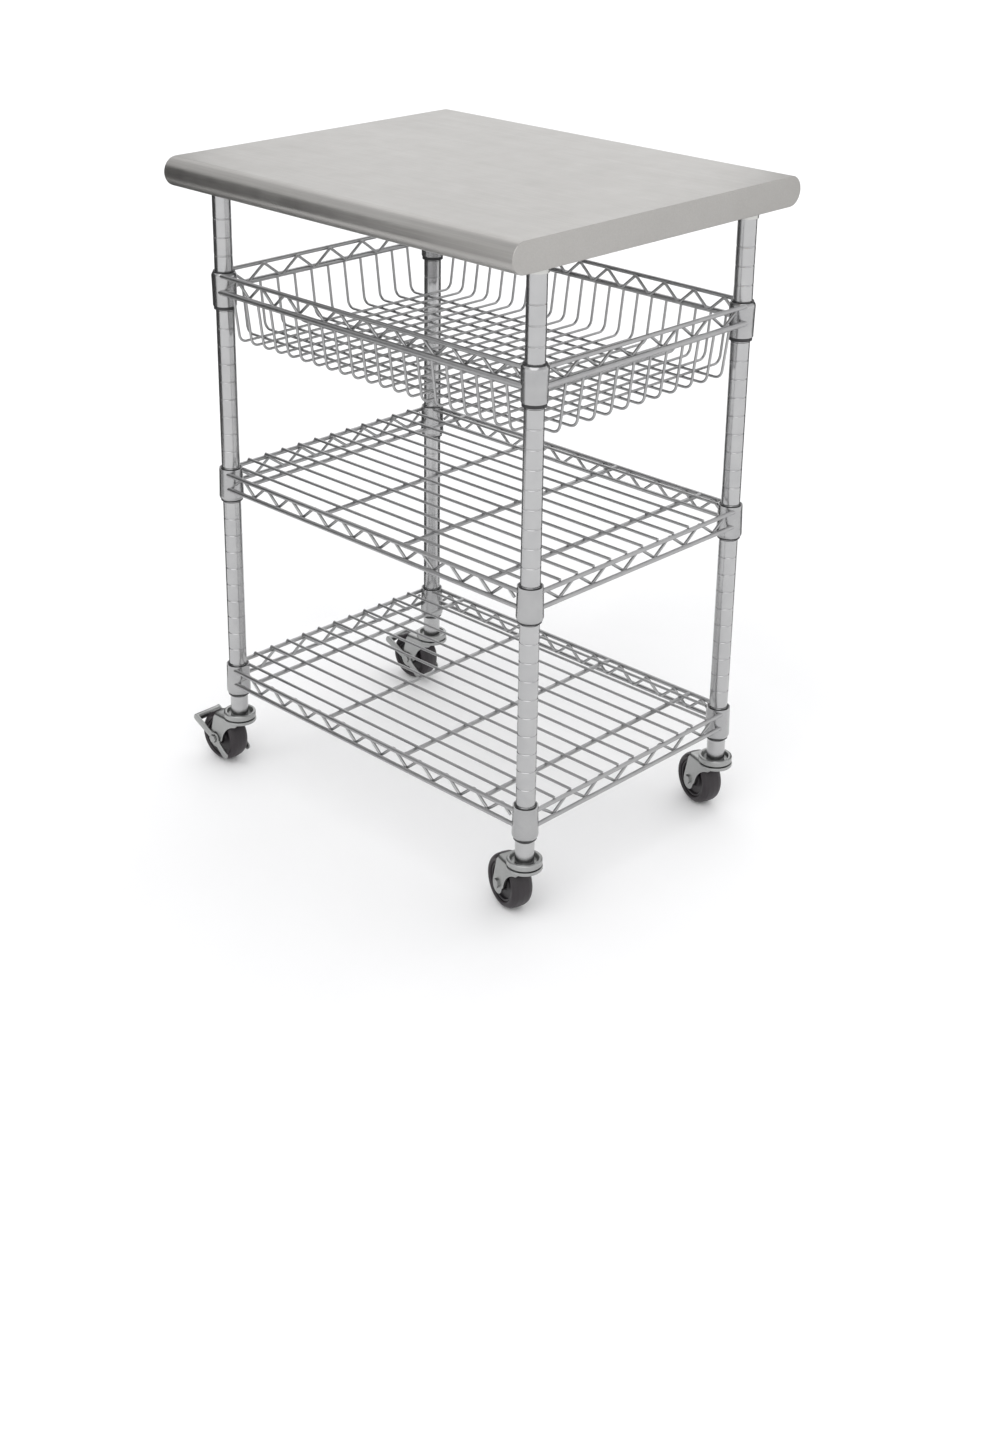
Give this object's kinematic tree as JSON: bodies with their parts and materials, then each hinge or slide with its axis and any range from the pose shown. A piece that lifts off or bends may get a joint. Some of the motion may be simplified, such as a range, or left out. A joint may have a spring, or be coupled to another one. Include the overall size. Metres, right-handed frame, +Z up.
{
  "type": "kitchen island cart",
  "caption": "Rolling kitchen cart with a round-nosed stainless worktop, a hanging wire basket and wire shelves on grooved posts and swivel casters.",
  "frame": {"origin": "on the floor, under the centre of the whole outline with the braked casters trailing out past the left end; the worktop's centre is 26.5 mm towards +X", "axes": "+Z up, +X along the long side from the braked end to the plain end, +Y from the front long side to the back long side"},
  "size_m": [0.687, 0.538, 0.915],
  "materials": {
    "worktop_steel": "satin stainless steel",
    "panel_steel": "galvanised sheet",
    "worktop_board": "raw fibreboard",
    "post_chrome": "bright chrome plate",
    "collar_chrome": "chrome plate over zinc",
    "wire_chrome": "chrome-plated wire",
    "caster_zinc": "zinc-plated pressed steel",
    "screw_zinc": "zinc-plated",
    "black_nylon": "moulded nylon",
    "hub_black": "moulded nylon",
    "tyre_black": "smooth soft tread"
  },
  "bodies": {
    "cart_frame": {"worktop_skin": "worktop_steel", "worktop_left_end": "worktop_steel", "worktop_right_end": "worktop_steel", "worktop_core": "worktop_board", "worktop_base_panel": "panel_steel", "base_panel_screws": "screw_zinc", "post_sockets": "screw_zinc", "socket_screws": "screw_zinc", "post_front_left": "post_chrome", "post_front_right": "post_chrome", "post_back_right": "post_chrome", "post_back_left": "post_chrome", "basket_rims": "wire_chrome", "basket_zigzags": "wire_chrome", "basket_collars": "collar_chrome", "basket_sleeves": "black_nylon", "basket_front_wall": "wire_chrome", "basket_back_wall": "wire_chrome", "basket_left_wall": "wire_chrome", "basket_right_wall": "wire_chrome", "basket_floor": "wire_chrome", "middle_shelf_rims": "wire_chrome", "middle_shelf_zigzags": "wire_chrome", "middle_shelf_mat": "wire_chrome", "middle_shelf_rods": "wire_chrome", "middle_shelf_collars": "collar_chrome", "middle_shelf_sleeves": "black_nylon", "bottom_shelf_rims": "wire_chrome", "bottom_shelf_zigzags": "wire_chrome", "bottom_shelf_mat": "wire_chrome", "bottom_shelf_rods": "wire_chrome", "bottom_shelf_collars": "collar_chrome", "bottom_shelf_sleeves": "black_nylon", "caster_stems": "caster_zinc", "stem_plugs": "black_nylon", "swivel_caps": "caster_zinc"},
    "swivel_front_left": {"fork_front_left": "caster_zinc", "balls_front_left": "caster_zinc", "axle_front_left": "caster_zinc"},
    "wheel_front_left": {"hub_front_left": "hub_black", "tyre_front_left": "tyre_black"},
    "brake_lever_front_left": {"brake_front_left": "caster_zinc"},
    "swivel_front_right": {"fork_front_right": "caster_zinc", "balls_front_right": "caster_zinc", "axle_front_right": "caster_zinc"},
    "wheel_front_right": {"hub_front_right": "hub_black", "tyre_front_right": "tyre_black"},
    "swivel_back_right": {"fork_back_right": "caster_zinc", "balls_back_right": "caster_zinc", "axle_back_right": "caster_zinc"},
    "wheel_back_right": {"hub_back_right": "hub_black", "tyre_back_right": "tyre_black"},
    "swivel_back_left": {"fork_back_left": "caster_zinc", "balls_back_left": "caster_zinc", "axle_back_left": "caster_zinc"},
    "wheel_back_left": {"hub_back_left": "hub_black", "tyre_back_left": "tyre_black"},
    "brake_lever_back_left": {"brake_back_left": "caster_zinc"}
  },
  "joints": [
    {"name": "swivel_front_left_turn", "type": "hinge", "parent": "cart_frame", "child": "swivel_front_left", "pos_m": [-0.26196, -0.1975, 0.08], "axis": [0, 0, 1], "continuous": true},
    {"name": "wheel_front_left_roll", "type": "hinge", "parent": "swivel_front_left", "child": "wheel_front_left", "pos_m": [-0.29696, -0.19811, 0.0375], "axis": [0.0175, -0.9998, 0], "continuous": true},
    {"name": "brake_front_left_press", "type": "hinge", "parent": "swivel_front_left", "child": "brake_lever_front_left", "pos_m": [-0.29696, -0.19811, 0.0375], "axis": [0.0175, -0.9998, 0], "range_deg": [0, 14]},
    {"name": "swivel_front_right_turn", "type": "hinge", "parent": "cart_frame", "child": "swivel_front_right", "pos_m": [0.31504, -0.1975, 0.08], "axis": [0, 0, 1], "continuous": true},
    {"name": "wheel_front_right_roll", "type": "hinge", "parent": "swivel_front_right", "child": "wheel_front_right", "pos_m": [0.2814, -0.18785, 0.0375], "axis": [-0.2756, -0.9613, 0], "continuous": true},
    {"name": "swivel_back_right_turn", "type": "hinge", "parent": "cart_frame", "child": "swivel_back_right", "pos_m": [0.31504, 0.1975, 0.08], "axis": [0, 0, 1], "continuous": true},
    {"name": "wheel_back_right_roll", "type": "hinge", "parent": "swivel_back_right", "child": "wheel_back_right", "pos_m": [0.28157, 0.20773, 0.0375], "axis": [-0.2924, -0.9563, 0], "continuous": true},
    {"name": "swivel_back_left_turn", "type": "hinge", "parent": "cart_frame", "child": "swivel_back_left", "pos_m": [-0.26196, 0.1975, 0.08], "axis": [0, 0, 1], "continuous": true},
    {"name": "wheel_back_left_roll", "type": "hinge", "parent": "swivel_back_left", "child": "wheel_back_left", "pos_m": [-0.29691, 0.19567, 0.0375], "axis": [0.0523, -0.9986, 0], "continuous": true},
    {"name": "brake_back_left_press", "type": "hinge", "parent": "swivel_back_left", "child": "brake_lever_back_left", "pos_m": [-0.29691, 0.19567, 0.0375], "axis": [0.0523, -0.9986, 0], "range_deg": [0, 14]}
  ]
}
